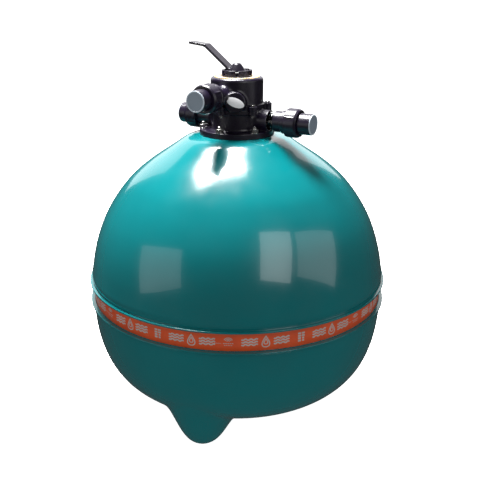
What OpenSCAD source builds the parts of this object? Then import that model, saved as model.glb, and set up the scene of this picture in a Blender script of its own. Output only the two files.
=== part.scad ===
// Sand filter tank for a pool: one moulded tank on three lobed feet, with a
// six-position multiport valve, three union ports and the internal underdrain.
// Millimetres. +Z up. Origin on the floor, on the tank's axis.
// Return port along +X, waste port along -X, pump port along -Y.

/* [Tank] */
// Radius of the two moulded lips, the widest part of the tank
lip_r = 380; // [378:1:384]
// Height of the upper lip above the floor
lip_z = 369; // [366:1:372]
// Distance between the upper lip and the lower lip
lip_gap = 51; // [49:1:53]
// Thickness of each lip at its edge
lip_t = 4; // [3:0.5:5]
// Wall thickness of the moulded tank
wall = 7; // [6:0.5:8]
// Height of the flat top of the neck, where the valve flange sits
neck_z = 733; // [732:1:734]
// Radius of the recess in the top of the neck
neck_r = 62; // [61:0.5:63]

/* [Feet] */
// Distance of each foot from the tank's axis
foot_reach = 238; // [234:1:244]
// Size of the rounded foot: its radius where it is this high, less foot_flat
foot_r = 66; // [64:1:68]
// Turn of the front foot away from the pump port
foot_turn = 9; // [0:1:12]

/* [Label band] */
// Height of the printed band between the lips
band_h = 43; // [38:1:43]
// Thickness of the printed band
band_t = 1; // [0.6:0.1:1.5]

/* [Valve] */
// Radius of the valve's bottom flange
flange_r = 92; // [91:0.5:94]
// Thickness of the valve's bottom flange
flange_t = 13; // [12:0.5:13]
// Outer radius of the valve body and its bonnet
body_r = 64; // [63.5:0.5:65]
// Radius of the circle of the flange bolts
flange_bolt_circle = 83; // [82.5:0.5:83]
// Radius of the circle of the bonnet bolts
joint_bolt_circle = 75; // [74.5:0.5:76]

/* [Ports] */
// Outer radius of the pipe tails, which take 50 mm pipe couplers
tail_r = 25; // [25:0.05:25.2]
// Outer radius of the union nuts, without their ribs
nut_r = 34; // [33.5:0.5:35]
// Length of the clear sight glass that shows
glass_len = 16; // [14:1:17]

/* [Lever] */
// Outer radius of the index ring
index_r = 37; // [36:0.5:37.5]
// Height of the index ring
index_h = 16; // [13:0.5:16]
// Width of the lever's arm
arm_w = 28; // [24:1:29]
// Thickness of the lever's arm
arm_t = 6; // [5:0.5:6.5]

/* [Underdrain] */
// Height of the axis of the lateral pipes
lateral_z = 125; // [120:1:130]
// Length of a lateral pipe outside its hub
lateral_len = 190; // [150:5:200]

/* [Hidden] */
$fn = 64;

// Colours
teal = [0.02, 0.42, 0.42];
orange = [0.75, 0.22, 0.06];
black = [0.08, 0.07, 0.10];
steel = [0.78, 0.78, 0.80];
brass = [0.72, 0.58, 0.30];
rubber = [0.05, 0.05, 0.05];
white = [0.92, 0.92, 0.90];
grey = [0.50, 0.56, 0.60];
pale = [0.80, 0.90, 0.95, 0.35];

// Lower bowl: a superellipse about the tank's axis
bowl_r = 375.5;
bowl_h = 372.5;
bowl_mid = 426.8;
bowl_power = 3.676;
bowl_steps = 14;
bowl_end = 8;
// Wall between the lips, where the band lies
waist_r = 369;
band_gap = 0.45;
// Shoulder: the points [radius, height] that its smooth outline passes through
shoulder = [[374, 388], [365, 437], [352, 483], [334, 527], [311, 567], [285, 602],
    [258, 631], [217, 664], [166, 698], [126, 724]];
neck_top_r = 95;
neck_depth = 28;
throat_r = 58;
ledge_t = 7;
lip_root = 7;

feet = [-90 + foot_turn, 30 + foot_turn, 150 + foot_turn];
// A foot's outline is a cube curve, cut flat this far above its lowest point
foot_flat = 2;
foot_heights = [0, 2, 5, 9, 15, 24, 37, 56, 82, 115, 150];

// Valve heights
flange_top = neck_z + flange_t;
joint_z = 798;
top_z = 871;
side_port_z = 771.5;
pump_port_z = 834.5;
pump_neck_r = 19;
pump_thread_from = 108;
pump_bore_r = 14.5;
bolts = [30, 90, 150, 210, 270, 330];
lug_r = 10;
joint_flange_r = 68;
joint_flange_t = 10;
chamber_r = 57;
centre_tube_r = 32;
standpipe_r = 25;
bore_r = 17;
seat_z = joint_z - 2;
seat_t = 7;
gasket_t = 3;
roof_z = 860;

// Rotor, stem and lever heights
rotor_z = seat_z + gasket_t + 0.2;
rotor_t = 16;
rotor_r = 54;
rotor_hub_r = 11.5;
rotor_hub_h = 9;
stem_r = 9;
stem_fit = 0.06;
gland_r = 16;
gland_z = 852;
boss_r = 24;
boss_top = top_z + 9;
slip_z = boss_top + 0.1;
slip_t = 2.8;
heel_z = slip_z + slip_t + 0.3;
pin_z = heel_z + 5;
pin_r = 3;
pin_len = 32;
tenon_r = 7;
cone_r = 21.7;
cone_top_r = 8.5;
cone_h = 18.5;
// Lever arm's middle line in the XZ plane: root, elbow and tip
arm_root = [-16, 887];
arm_elbow = [-84.5, 941];
arm_tip = [-129, 946];

// Studs, nuts and washers
insert_depth = 18;
insert_r = 8;
stud_r = 5;
nut_af_r = 9.8;
joint_bolt_r = 3;
joint_head_r = 5.8;

// Union: distances from the start of its nut, along the port
nut_len = 32;
nut_clear = 0.3;
thread_r = 30;
thread_start = 2;
face_at = 16;
collar_t = 4.8;
lip_at = 21.5;
tail_neck_r = tail_r - 0.4;
tail_step = 33;
plug_cap_t = 2;
plug_cap_r = 24.2;
plug_len = 14;
union_cord = 1.55;
// Start of each union's nut and end of each plugged port, from the valve's axis
pump_nut = 124;
return_neck = 93;
waste_nut = 103;
inner_tail_len = 32;
return_nut = return_neck + glass_len + inner_tail_len;
pump_end = 188;
return_end = 206;
waste_end = 158;
glass_r = 23;
glass_seat = 8;
glass_seal_t = 1.5;

// Drain, low on the rear wall
drain_turn = 98;
drain_z = 150;
drain_r = 16;
drain_thread_r = 14;
drain_boss = 354;

// ---- helpers ----

// Puts children that stand along +Z onto a port's axis
module on_port(turn, z) {
    translate([0, 0, z])
        rotate([0, 0, turn])
            rotate([0, 90, 0])
                children();
}
module on_pump() { on_port(-90, pump_port_z) children(); }
module on_return() { on_port(0, side_port_z) children(); }
module on_waste() { on_port(180, side_port_z) children(); }
module on_drain() { on_port(drain_turn, drain_z) children(); }

// Copies of children at the given angles, radius and height
module at_angles(angles, r, z) {
    for (a = angles)
        rotate([0, 0, a])
            translate([r, 0, z])
                children();
}

// A tube from z to z + h
module tube(r_out, r_in, z, h) {
    translate([0, 0, z])
        difference() {
            cylinder(r = r_out, h = h);
            translate([0, 0, -1]) cylinder(r = r_in, h = h + 2);
        }
}

// A rod from z to z + h
module rod(r, z, h) {
    translate([0, 0, z]) cylinder(r = r, h = h);
}

// An O-ring about Z
module oring(r_mid, r_cord, z) {
    translate([0, 0, z])
        rotate_extrude()
            translate([r_mid, 0])
                circle(r = r_cord, $fn = 32);
}

// A ring sector from -half to +half degrees about +X
module sector(half, r_in, r_out, z, h) {
    far = r_out / cos(half) + 5;
    intersection() {
        tube(r_out, r_in, z, h);
        translate([0, 0, z - 1])
            linear_extrude(height = h + 2)
                polygon([[0, 0], far * [cos(half), -sin(half)], far * [cos(half), sin(half)]]);
    }
}

// A hexagon nut with its bore
module hex_nut(r_hex, r_in, h) {
    difference() {
        cylinder(r = r_hex, h = h, $fn = 6);
        translate([0, 0, -1]) cylinder(r = r_in, h = h + 2);
    }
}

// ---- tank ----

// A point of the lower bowl at the angle t, 90 at the very bottom
function bowl_point(t, inset) = [
    (bowl_r - inset) * pow(cos(t), 2 / bowl_power),
    bowl_mid - (bowl_h - inset) * pow(sin(t), 2 / bowl_power)
];
function bowl(inset) = [
    for (i = [0:bowl_steps]) bowl_point(90 - (90 - bowl_end) * i / bowl_steps, inset)
];
// Unit normal of an open outline at point i, towards the axis
function along(p, i) = p[min(i + 1, len(p) - 1)] - p[max(i - 1, 0)];
function inward(p, i) = let (d = along(p, i)) [-d[1], d[0]] / norm(d);
function inset_line(p, t) = [for (i = [0:len(p) - 1]) p[i] + t * inward(p, i)];
// Points of a smooth curve through p, with n steps in each span
function span_point(a, b, c, d, t) =
    0.5 * (2 * b + (c - a) * t + (2 * a - 5 * b + 4 * c - d) * t * t
        + (3 * b - a - 3 * c + d) * t * t * t);
function smooth(p, n) = [
    for (i = [0:len(p) - 2]) for (k = [0:n - 1])
        span_point(p[max(i - 1, 0)], p[i], p[i + 1], p[min(i + 2, len(p) - 1)], k / n),
    p[len(p) - 1]
];
shoulder_line = smooth(shoulder, 2);

module tank_outline() {
    polygon(concat(bowl(0),
        [[waist_r, lip_z - lip_gap], [waist_r, lip_z]],
        shoulder_line,
        [[neck_top_r, neck_z], [0, neck_z]]));
}

module tank_hollow() {
    inner = inset_line(shoulder_line, wall);
    kept = [for (p = inner) if (p[1] < neck_z - neck_depth - 12) p];
    polygon(concat(bowl(wall),
        [[waist_r - wall, lip_z - lip_gap], [waist_r - wall, lip_z]],
        kept,
        [[104, neck_z - neck_depth], [throat_r, neck_z - neck_depth],
         [throat_r, neck_z - ledge_t], [neck_r, neck_z - ledge_t],
         [neck_r, neck_z + 1], [0, neck_z + 1]]));
}

// Thin lip round the waist
module lip(z) {
    rotate_extrude()
        polygon([[waist_r - 3, z - lip_root / 2], [lip_r - 1, z - lip_t / 2],
            [lip_r, z - lip_t / 2 + 1], [lip_r, z + lip_t / 2 - 1],
            [lip_r - 1, z + lip_t / 2], [waist_r - 3, z + lip_root / 2 + 1]]);
}

// Rounded foot with a small flat under it
function foot_point(z) = [foot_r * pow((z + foot_flat) / foot_r, 1 / 3), z];
foot_line = [for (z = foot_heights) foot_point(z)];
module foot(inset) {
    line = inset_line(foot_line, inset);
    rotate_extrude()
        polygon(concat([[0, line[0][1]]], line, [[0, line[len(line) - 1][1]]]));
}

module tank_shell() {
    color(teal)
        difference() {
            union() {
                rotate_extrude() tank_outline();
                lip(lip_z);
                lip(lip_z - lip_gap);
                at_angles(feet, foot_reach, 0) foot(0);
                on_drain() rod(26, 300, drain_boss - 300);
            }
            rotate_extrude() tank_hollow();
            at_angles(feet, foot_reach, 0) foot(wall);
            on_drain() rod(drain_r, 290, 80);
            at_angles(bolts, flange_bolt_circle, neck_z - insert_depth)
                cylinder(r = insert_r, h = insert_depth + 1);
            tube(71, 66, neck_z - 5, 6);
        }
}

module label_band() {
    color(orange)
        tube(waist_r + band_t, waist_r + band_gap, lip_z - lip_gap / 2 - band_h / 2, band_h);
}

module neck_inserts() {
    color(brass)
        at_angles(bolts, flange_bolt_circle, 0)
            tube(insert_r, stud_r, neck_z - insert_depth, insert_depth);
}

module flange_studs() {
    color(steel)
        at_angles(bolts, flange_bolt_circle, 0) {
            rod(stud_r, neck_z - insert_depth + 1, insert_depth + flange_t + 13);
            translate([0, 0, flange_top + 12]) sphere(r = stud_r);
        }
}

module flange_washers() {
    color(steel)
        at_angles(bolts, flange_bolt_circle, 0) tube(10, stud_r + 0.3, flange_top, 2);
}

module flange_nuts() {
    color(steel)
        at_angles(bolts, flange_bolt_circle, flange_top + 2) hex_nut(nut_af_r, stud_r, 8);
}

module flange_oring() {
    color(rubber) oring(68.5, 2.45, neck_z - 2.5);
}

module standpipe() {
    color(grey) tube(standpipe_r, 21, 131, 620);
}

module standpipe_seal() {
    color(rubber) oring(standpipe_r + 1.65, 1.6, neck_z + 9.8);
}

module lateral_hub() {
    color(grey)
        difference() {
            union() {
                rod(45, 100, 55);
                rod(20, 62, 39);
            }
            rod(standpipe_r + 0.05, 130, 30);
            rod(22, 108, 25);
            for (k = [0:7])
                rotate([0, 0, lateral_turn(k)])
                    on_port(0, lateral_z) {
                        rod(11, 31, 30);
                        rod(7, 19, 13);
                    }
        }
}

function lateral_turn(k) = 22.5 + 45 * k;

// One slotted pipe with a closed round end
module lateral(k) {
    end = 45 + lateral_len;
    color(grey)
        rotate([0, 0, lateral_turn(k)])
            on_port(0, lateral_z)
                difference() {
                    union() {
                        rod(11, 31, end - 31);
                        translate([0, 0, end]) sphere(r = 11);
                    }
                    rod(8.5, 30, end - 30);
                    for (s = [0:6])
                        translate([2, -12, 62 + s * 22]) cube([12, 24, 1.6]);
                }
}
module lateral_1() { lateral(0); }
module lateral_2() { lateral(1); }
module lateral_3() { lateral(2); }
module lateral_4() { lateral(3); }
module lateral_5() { lateral(4); }
module lateral_6() { lateral(5); }
module lateral_7() { lateral(6); }
module lateral_8() { lateral(7); }

// Slotted basket that spreads the water under the neck
module top_diffuser() {
    basket_z = 690;
    color(grey)
        difference() {
            union() {
                rod(50, basket_z, neck_z - basket_z - 6);
                rod(neck_r - 0.5, neck_z - ledge_t, ledge_t - 0.2);
            }
            rod(47, basket_z + 3, neck_z);
            rod(standpipe_r + 0.5, basket_z - 1, 10);
            for (a = [0:15:345])
                rotate([0, 0, a + 7.5]) translate([44, -1.5, basket_z + 7]) cube([10, 3, 24]);
        }
}

module drain_spigot() {
    color(black)
        on_drain()
            difference() {
                union() {
                    rod(drain_r, 318, drain_boss - 317);
                    rod(24, drain_boss, 4);
                    rod(drain_thread_r, drain_boss + 3, 13);
                }
                rod(10, 310, 70);
            }
}

module drain_seal() {
    color(rubber) on_drain() tube(13.5, 10.5, drain_boss + 16, 1.5);
}

module drain_cap() {
    color(black)
        on_drain()
            difference() {
                union() {
                    rod(21, drain_boss + 5, 16);
                    for (a = [0:45:315])
                        rotate([0, 0, a]) translate([20, -2, drain_boss + 5]) cube([2.5, 4, 16]);
                }
                rod(drain_thread_r + 0.3, drain_boss + 4, 13.6);
            }
}

// ---- valve body and bonnet ----

// Bolt lugs on the joint between the body and the bonnet
module lugs(z, h) {
    at_angles(bolts, joint_bolt_circle, z) cylinder(r = lug_r, h = h);
}
module lug_holes(z, h) {
    at_angles(bolts, joint_bolt_circle, z - 1) cylinder(r = joint_bolt_r + 0.3, h = h + 2);
}

// Threaded end of a port's neck, with a groove for the union's O-ring
module neck_end(start) {
    rod(thread_r, start + thread_start, face_at - thread_start);
}
module neck_groove(start) {
    tube(26.7, 23.3, start + face_at - 3.2, 4);
}

module valve_body() {
    floor_t = 12;
    color(black)
        difference() {
            union() {
                rod(flange_r, neck_z, flange_t);
                rod(body_r, neck_z + 1, joint_z - neck_z - 1);
                rod(joint_flange_r, joint_z - joint_flange_t, joint_flange_t);
                lugs(joint_z - joint_flange_t, joint_flange_t);
                on_return() rod(tail_r, 50, return_neck - 50);
                on_waste() rod(tail_r, 50, waste_nut + face_at - 50);
                on_waste() neck_end(waste_nut);
            }
            // Seat recess, centre port and the four sectors open to the tank
            rod(58, seat_z, 10);
            rod(20, neck_z - 1, 100);
            rod(standpipe_r + 0.1, neck_z - 1, 20);
            tube(standpipe_r + 3.4, 20, neck_z + 8, 3.6);
            for (a = [60, 120, 240, 300])
                rotate([0, 0, a])
                    sector(27, centre_tube_r, chamber_r, neck_z - 1, seat_z - seat_t - neck_z + 1);
            // Return and waste pockets, closed below
            for (a = [0, 180])
                rotate([0, 0, a])
                    sector(27, centre_tube_r, chamber_r, neck_z + floor_t,
                        seat_z - seat_t - neck_z - floor_t);
            for (a = [0:60:300])
                rotate([0, 0, a]) sector(22, 30, 52, seat_z - seat_t - 1, seat_t + 2);
            on_return() rod(bore_r, 45, return_neck);
            on_return() rod(glass_r, return_neck - glass_seat - glass_seal_t, 20);
            on_waste() rod(bore_r, 45, 100);
            on_waste() neck_groove(waste_nut);
            at_angles(bolts, flange_bolt_circle, neck_z - 1)
                cylinder(r = stud_r + 0.5, h = flange_t + 2);
            lug_holes(joint_z - joint_flange_t, joint_flange_t);
        }
}

// Round pad on the bonnet's front that carries the badge
badge_turn = -62.9;
badge_tilt = 12;
badge_z = 802.5;
badge_face = 84;
module on_badge() {
    translate([0, 0, badge_z])
        rotate([0, 0, badge_turn])
            rotate([0, 90 - badge_tilt, 0])
                children();
}

module valve_bonnet() {
    edge_r = 8;
    color(black)
        difference() {
            union() {
                rod(body_r, joint_z, top_z - edge_r - joint_z);
                rod(body_r - edge_r, joint_z, top_z - joint_z);
                oring(body_r - edge_r, edge_r, top_z - edge_r);
                rod(boss_r, top_z - 1, boss_top - top_z + 1);
                rod(joint_flange_r, joint_z, joint_flange_t);
                lugs(joint_z, joint_flange_t);
                on_pump() rod(pump_neck_r, 50, pump_nut - 50);
                on_pump() rod(thread_r, pump_thread_from, pump_nut + face_at - pump_thread_from);
                on_badge() rod(24, 30, badge_face - 30);
            }
            difference() {
                rod(chamber_r, joint_z - 1, roof_z - joint_z + 1);
                rod(gland_r, gland_z, 20);
            }
            rod(stem_r + stem_fit, gland_z - 1, 40);
            tube(61.5, 58.5, joint_z - 1, 3.3);
            on_pump() rod(pump_bore_r, 45, 120);
            on_pump() neck_groove(pump_nut);
            lug_holes(joint_z, joint_flange_t);
            // The badge's pad stops at the joint
            rod(2 * flange_r, joint_z - 60, 60);
        }
}

module body_oring() {
    color(rubber) oring(60, 1.1, joint_z + 1.15);
}

module spider_gasket() {
    color(rubber)
        difference() {
            rod(56.6, seat_z, gasket_t);
            rod(20, seat_z - 1, gasket_t + 2);
            for (a = [0:60:300])
                rotate([0, 0, a]) sector(22, 30, 52, seat_z - 1, gasket_t + 2);
        }
}

module rotor() {
    color(black)
        difference() {
            union() {
                rod(rotor_r, rotor_z, rotor_t);
                rod(rotor_hub_r, rotor_z + rotor_t - 1, rotor_hub_h + 1);
            }
            rod(stem_r, rotor_z + rotor_t - 3, rotor_hub_h + 10);
            // Channel under the rotor from the centre port to the return sector
            rod(20, rotor_z - 1, 10);
            sector(22, 15, 51, rotor_z - 1, 10);
            // Windows that let the pump's water down into the tank
            for (a = [60, 300])
                rotate([0, 0, a]) sector(20, 30, 51, rotor_z - 1, rotor_t + 2);
        }
}

stem_foot = rotor_z + rotor_t - 3;
stem_shoulder = boss_top - 1;
groove_z = [gland_z + 8, gland_z + 18];
module stem() {
    color(black)
        difference() {
            union() {
                rod(stem_r, stem_foot, stem_shoulder - stem_foot);
                rod(tenon_r, stem_shoulder - 1, pin_z - stem_shoulder + 1);
                translate([0, 0, pin_z]) sphere(r = tenon_r);
            }
            for (z = groove_z) tube(stem_r + 1, 6.4, z - 1.4, 2.8);
            translate([0, 0, pin_z]) rotate([90, 0, 0]) cylinder(r = pin_r, h = 40, center = true);
        }
}

module stem_orings() {
    color(rubber)
        for (z = groove_z) oring(7.72, 1.29, z);
}

// Compression spring between the rotor and the bonnet's roof
spring_r = 13.4;
wire_r = 1.3;
spring_low = rotor_z + rotor_t + wire_r + 0.1;
spring_high = gland_z - 2 - wire_r - 0.1;
spring_turns = 5;
spring_rings = 80;
wire_sides = 8;
module spring() {
    rings = [for (i = [0:spring_rings])
        let (a = 360 * spring_turns * i / spring_rings,
             z = spring_low + (spring_high - spring_low) * i / spring_rings)
        [for (k = [0:wire_sides - 1])
            let (b = 360 * k / wire_sides, r = spring_r + wire_r * cos(b))
            [r * cos(a), r * sin(a), z + wire_r * sin(b)]]];
    points = [for (ring = rings) for (p = ring) p];
    last = spring_rings * wire_sides;
    sides = [for (i = [0:spring_rings - 1]) for (k = [0:wire_sides - 1])
        let (n = (k + 1) % wire_sides, a = i * wire_sides, b = a + wire_sides)
        [a + k, b + k, b + n, a + n]];
    ends = [[for (k = [0:wire_sides - 1]) k],
        [for (k = [0:wire_sides - 1]) last + wire_sides - 1 - k]];
    color(steel) polyhedron(points, concat(sides, ends), convexity = 8);
}

module spring_washer() {
    color(steel) tube(gland_r, stem_r + 0.5, gland_z - 2, 2);
}

module slip_washer() {
    color(white) tube(boss_r, stem_r + 1, slip_z, slip_t);
}

module handle_pin() {
    color(steel)
        translate([0, 0, pin_z])
            rotate([90, 0, 0])
                cylinder(r = pin_r, h = pin_len, center = true);
}

// A flat bar in the XZ plane between two points of its middle line
module bar(a, b, w, t) {
    d = b - a;
    n = [-d[1], d[0]] * (t / 2 / norm(d));
    rotate([90, 0, 0])
        linear_extrude(height = w, center = true)
            polygon([a + n, a - n, b - n, b + n]);
}

// Wedge that closes the corner where two bars meet
module knee(p, w, t) {
    translate([p[0], 0, p[1]])
        rotate([90, 0, 0])
            cylinder(r = t / 2, h = w, center = true);
}

module lever() {
    slot_half = 9.6;
    color(black)
        difference() {
            union() {
                rod(20.5, heel_z, 2);
                translate([0, 0, heel_z + 1])
                    cylinder(r1 = cone_r, r2 = cone_top_r, h = cone_h);
                bar(arm_root, arm_elbow, arm_w, arm_t);
                knee(arm_elbow, arm_w, arm_t);
                bar(arm_elbow, arm_tip, arm_w, arm_t);
            }
            // Slot that lets the stem's end rock about the pin
            translate([-slot_half, -tenon_r - 0.4, heel_z - 20])
                cube([2 * slot_half, 2 * tenon_r + 0.8, pin_z + tenon_r + 0.6 - heel_z + 20]);
            translate([0, 0, pin_z]) rotate([90, 0, 0])
                cylinder(r = pin_r + 0.05, h = 60, center = true);
        }
}

// Ring with one notch for each of the six positions
module index_ring() {
    color(black)
        difference() {
            tube(index_r, 31, top_z, index_h);
            for (a = [0:60:300])
                rotate([0, 0, a]) translate([25, -3.5, top_z + 3]) cube([20, 7, 20]);
        }
}

module position_label() {
    color(white) tube(55, index_r + 1, top_z, 0.8);
}

// Blank oval badge
badge_turn_on_face = -21;
module badge() {
    color(white)
        on_badge()
            rotate([0, 0, badge_turn_on_face])
                translate([0, 0, badge_face + 0.05])
                    linear_extrude(height = 1.2)
                        polygon([for (a = [0:7.5:352.5]) [10.5 * cos(a), 22 * sin(a)]]);
}

module joint_bolts() {
    color(steel)
        at_angles(bolts, joint_bolt_circle, 0) {
            translate([0, 0, joint_z + joint_flange_t])
                cylinder(r = joint_head_r, h = 4, $fn = 6);
            rod(joint_bolt_r, joint_z - joint_flange_t - 7, 2 * joint_flange_t + 8);
        }
}

module joint_nuts() {
    color(steel)
        at_angles(bolts, joint_bolt_circle, joint_z - joint_flange_t - 5)
            hex_nut(joint_head_r, joint_bolt_r, 5);
}

// ---- ports ----

module sight_glass() {
    color(pale)
        on_return() tube(glass_r, bore_r + 1.5, return_neck - glass_seat, glass_len + 2 * glass_seat);
}

module glass_seals() {
    color(rubber)
        on_return() {
            tube(glass_r, bore_r + 1.5, return_neck - glass_seat - glass_seal_t, glass_seal_t);
            tube(glass_r, bore_r + 1.5, return_neck + glass_len + glass_seat, glass_seal_t);
        }
}

module return_inner_tail() {
    start = return_neck + glass_len;
    color(black)
        on_return()
            difference() {
                union() {
                    rod(tail_r, start, return_nut + face_at - start);
                    neck_end(return_nut);
                }
                rod(bore_r, start - 1, 100);
                rod(glass_r, start - 1, glass_seat + glass_seal_t + 1);
                neck_groove(return_nut);
            }
}

// Union nut with grip ribs, a threaded skirt and a lip that holds the tail's collar
module union_nut(start) {
    ribs = 12;
    color(black)
        difference() {
            union() {
                rod(nut_r, start, nut_len);
                for (k = [0:ribs - 1])
                    rotate([0, 0, 360 * k / ribs])
                        translate([nut_r - 1, -2.5, start + 1]) cube([2.2, 5, 20]);
            }
            rod(thread_r + nut_clear, start - 1, lip_at + 1);
            rod(tail_r + nut_clear, start, nut_len + 1);
        }
}
module pump_union_nut() { on_pump() union_nut(pump_nut); }
module return_union_nut() { on_return() union_nut(return_nut); }
module waste_union_nut() { on_waste() union_nut(waste_nut); }

// Pipe tail: collar inside the nut, then the bare end that a pipe coupler slides over
module tail(start, end) {
    face = start + face_at + 0.2;
    stop = end - plug_cap_t;
    color(black)
        difference() {
            union() {
                rod(thread_r - 0.4, face, collar_t);
                rod(tail_neck_r, face, start + tail_step - face);
                rod(tail_r, start + tail_step, stop - start - tail_step);
            }
            rod(20, start, end);
        }
}
module pump_tail() { on_pump() tail(pump_nut, pump_end); }
module return_tail() { on_return() tail(return_nut, return_end); }
module waste_tail() { on_waste() tail(waste_nut, waste_end); }

module union_oring(start) {
    color(rubber) oring(25, union_cord, start + face_at - union_cord - 0.05);
}
module pump_union_oring() { on_pump() union_oring(pump_nut); }
module return_union_oring() { on_return() union_oring(return_nut); }
module waste_union_oring() { on_waste() union_oring(waste_nut); }

// Shipping plug: a cap with a raised rim and a hollow spigot
module plug(end) {
    cap = end - plug_cap_t;
    color(grey)
        difference() {
            union() {
                rod(plug_cap_r, cap, plug_cap_t);
                rod(19.7, cap - plug_len, plug_len + 1);
            }
            rod(21.2, end - 0.8, 2);
            rod(17.5, cap - plug_len - 1, plug_len);
        }
}
module pump_plug() { on_pump() plug(pump_end); }
module return_plug() { on_return() plug(return_end); }
module waste_plug() { on_waste() plug(waste_end); }

tank_shell();
label_band();
neck_inserts();
flange_studs();
flange_washers();
flange_nuts();
flange_oring();
standpipe();
standpipe_seal();
lateral_hub();
lateral_1();
lateral_2();
lateral_3();
lateral_4();
lateral_5();
lateral_6();
lateral_7();
lateral_8();
top_diffuser();
drain_spigot();
drain_seal();
drain_cap();
valve_body();
valve_bonnet();
body_oring();
spider_gasket();
rotor();
stem();
stem_orings();
spring();
spring_washer();
slip_washer();
handle_pin();
lever();
index_ring();
position_label();
badge();
joint_bolts();
joint_nuts();
sight_glass();
glass_seals();
return_inner_tail();
pump_union_nut();
return_union_nut();
waste_union_nut();
pump_tail();
return_tail();
waste_tail();
pump_union_oring();
return_union_oring();
waste_union_oring();
pump_plug();
return_plug();
waste_plug();
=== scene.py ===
"""Looks of the sand filter tank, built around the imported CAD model.

Outlines and fields are in millimetres, in the CAD's own frame: +Z up, the tank's axis at
the origin, the return port along +X, the waste port along -X and the pump port along -Y.
add_piece() turns them into Blender's metres. Moulded parts with many blended shapes are
written as distance fields and meshed by surface_net(); turned parts are made by turn().
"""

import math

import bpy
import numpy as np
from mathutils import Matrix, Vector


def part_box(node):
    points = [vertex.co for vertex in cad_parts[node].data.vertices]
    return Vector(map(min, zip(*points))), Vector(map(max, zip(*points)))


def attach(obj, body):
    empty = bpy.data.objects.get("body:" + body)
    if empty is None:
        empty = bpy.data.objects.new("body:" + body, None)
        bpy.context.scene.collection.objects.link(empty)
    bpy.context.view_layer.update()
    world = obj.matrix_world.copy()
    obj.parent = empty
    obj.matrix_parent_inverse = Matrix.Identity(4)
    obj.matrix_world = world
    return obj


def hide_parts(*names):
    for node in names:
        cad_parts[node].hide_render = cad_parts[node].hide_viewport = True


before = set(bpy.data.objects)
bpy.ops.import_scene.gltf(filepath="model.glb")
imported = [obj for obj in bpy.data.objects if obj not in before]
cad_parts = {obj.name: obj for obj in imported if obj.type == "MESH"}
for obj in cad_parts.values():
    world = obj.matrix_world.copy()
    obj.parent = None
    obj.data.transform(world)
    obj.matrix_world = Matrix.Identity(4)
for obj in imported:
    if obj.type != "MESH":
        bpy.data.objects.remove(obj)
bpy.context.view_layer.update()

MM = 0.001


def corners(node):
    """Lowest and highest corner of a CAD node, in millimetres."""
    low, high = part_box(node)
    return np.array(low) / MM, np.array(high) / MM


# ---- places, most read from the imported model ----

LOW, HIGH = {}, {}
for node_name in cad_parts:
    LOW[node_name], HIGH[node_name] = corners(node_name)

NECK_Z = HIGH["tank_shell"][2]
LIP_R = HIGH["tank_shell"][0]
BAND_Z = (LOW["label_band"][2] + HIGH["label_band"][2]) / 2
BAND_R = HIGH["label_band"][0]
FLANGE_R = HIGH["valve_body"][1]
JOINT_Z = LOW["valve_bonnet"][2]
TOP_Z = LOW["index_ring"][2]
BOSS_Z = HIGH["valve_bonnet"][2]
SIDE_PORT_Z = (LOW["return_union_nut"][2] + HIGH["return_union_nut"][2]) / 2
PUMP_PORT_Z = (LOW["pump_union_nut"][2] + HIGH["pump_union_nut"][2]) / 2
BOLT_ANGLES = [30, 90, 150, 210, 270, 330]
FLANGE_BOLT_R = 83.0
JOINT_BOLT_R = 75.0
TAIL_R = 25.0
BODY_R = 64.0

# ---- meshes ----


def add_piece(name, verts, faces, material, body, replaces=(), normals=None, sharp=None):
    """A smooth mesh object from millimetre points, riding on a CAD body.

    normals are a field's own. sharp is the angle above which weigh_normals() keeps an edge.
    """
    mesh = bpy.data.meshes.new(name)
    verts = np.asarray(verts, float) * MM
    mesh.from_pydata(verts.tolist(), [], [list(f) for f in faces])
    mesh.validate()
    mesh.update()
    mesh.shade_smooth()
    if normals is not None:
        mesh.normals_split_custom_set_from_vertices(np.asarray(normals).tolist())
    piece = bpy.data.objects.new(name, mesh)
    bpy.context.scene.collection.objects.link(piece)
    mesh.materials.append(material)
    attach(piece, body)
    if replaces:
        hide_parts(*replaces)
    if sharp:
        weigh_normals(piece, sharp)
    return piece


def weigh_normals(piece, sharp):
    """Flat faces stay flat beside their small rounded edges."""
    piece.data.set_sharp_from_angle(angle=math.radians(sharp))
    weighted = piece.modifiers.new("flat_faces", "WEIGHTED_NORMAL")
    weighted.keep_sharp = True
    weighted.weight = 60


def rounded(points, radii, closed=True, steps=5):
    """A polyline's corners replaced by arcs. radii is one radius, or one for each point."""
    count = len(points)
    if not hasattr(radii, "__len__"):
        radii = [radii] * count
    result = []
    for i in range(count):
        here = np.array(points[i], float)
        end = not closed and i in (0, count - 1)
        if end or radii[i] <= 0:
            result.append(here)
            continue
        before = np.array(points[i - 1], float) - here
        after = np.array(points[(i + 1) % count], float) - here
        a = before / np.linalg.norm(before)
        b = after / np.linalg.norm(after)
        half = math.acos(max(-1.0, min(1.0, float(a @ b)))) / 2
        if half > math.radians(88):
            result.append(here)
            continue
        reach = radii[i] / math.tan(half)
        reach = min(reach, 0.48 * np.linalg.norm(before), 0.48 * np.linalg.norm(after))
        radius = reach * math.tan(half)
        middle = (a + b) / np.linalg.norm(a + b)
        centre = here + middle * radius / math.sin(half)
        start = here + a * reach - centre
        stop = here + b * reach - centre
        sweep = math.atan2(start[0] * stop[1] - start[1] * stop[0], float(start @ stop))
        for k in range(steps + 1):
            t = sweep * k / steps
            turned = [
                start[0] * math.cos(t) - start[1] * math.sin(t),
                start[0] * math.sin(t) + start[1] * math.cos(t),
            ]
            result.append(centre + turned)
    return [tuple(p) for p in result]


def box_section(inner, outer, start, stop):
    """Outline of a plain ring or tube."""
    return [(inner, start), (outer, start), (outer, stop), (inner, stop)]


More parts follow.
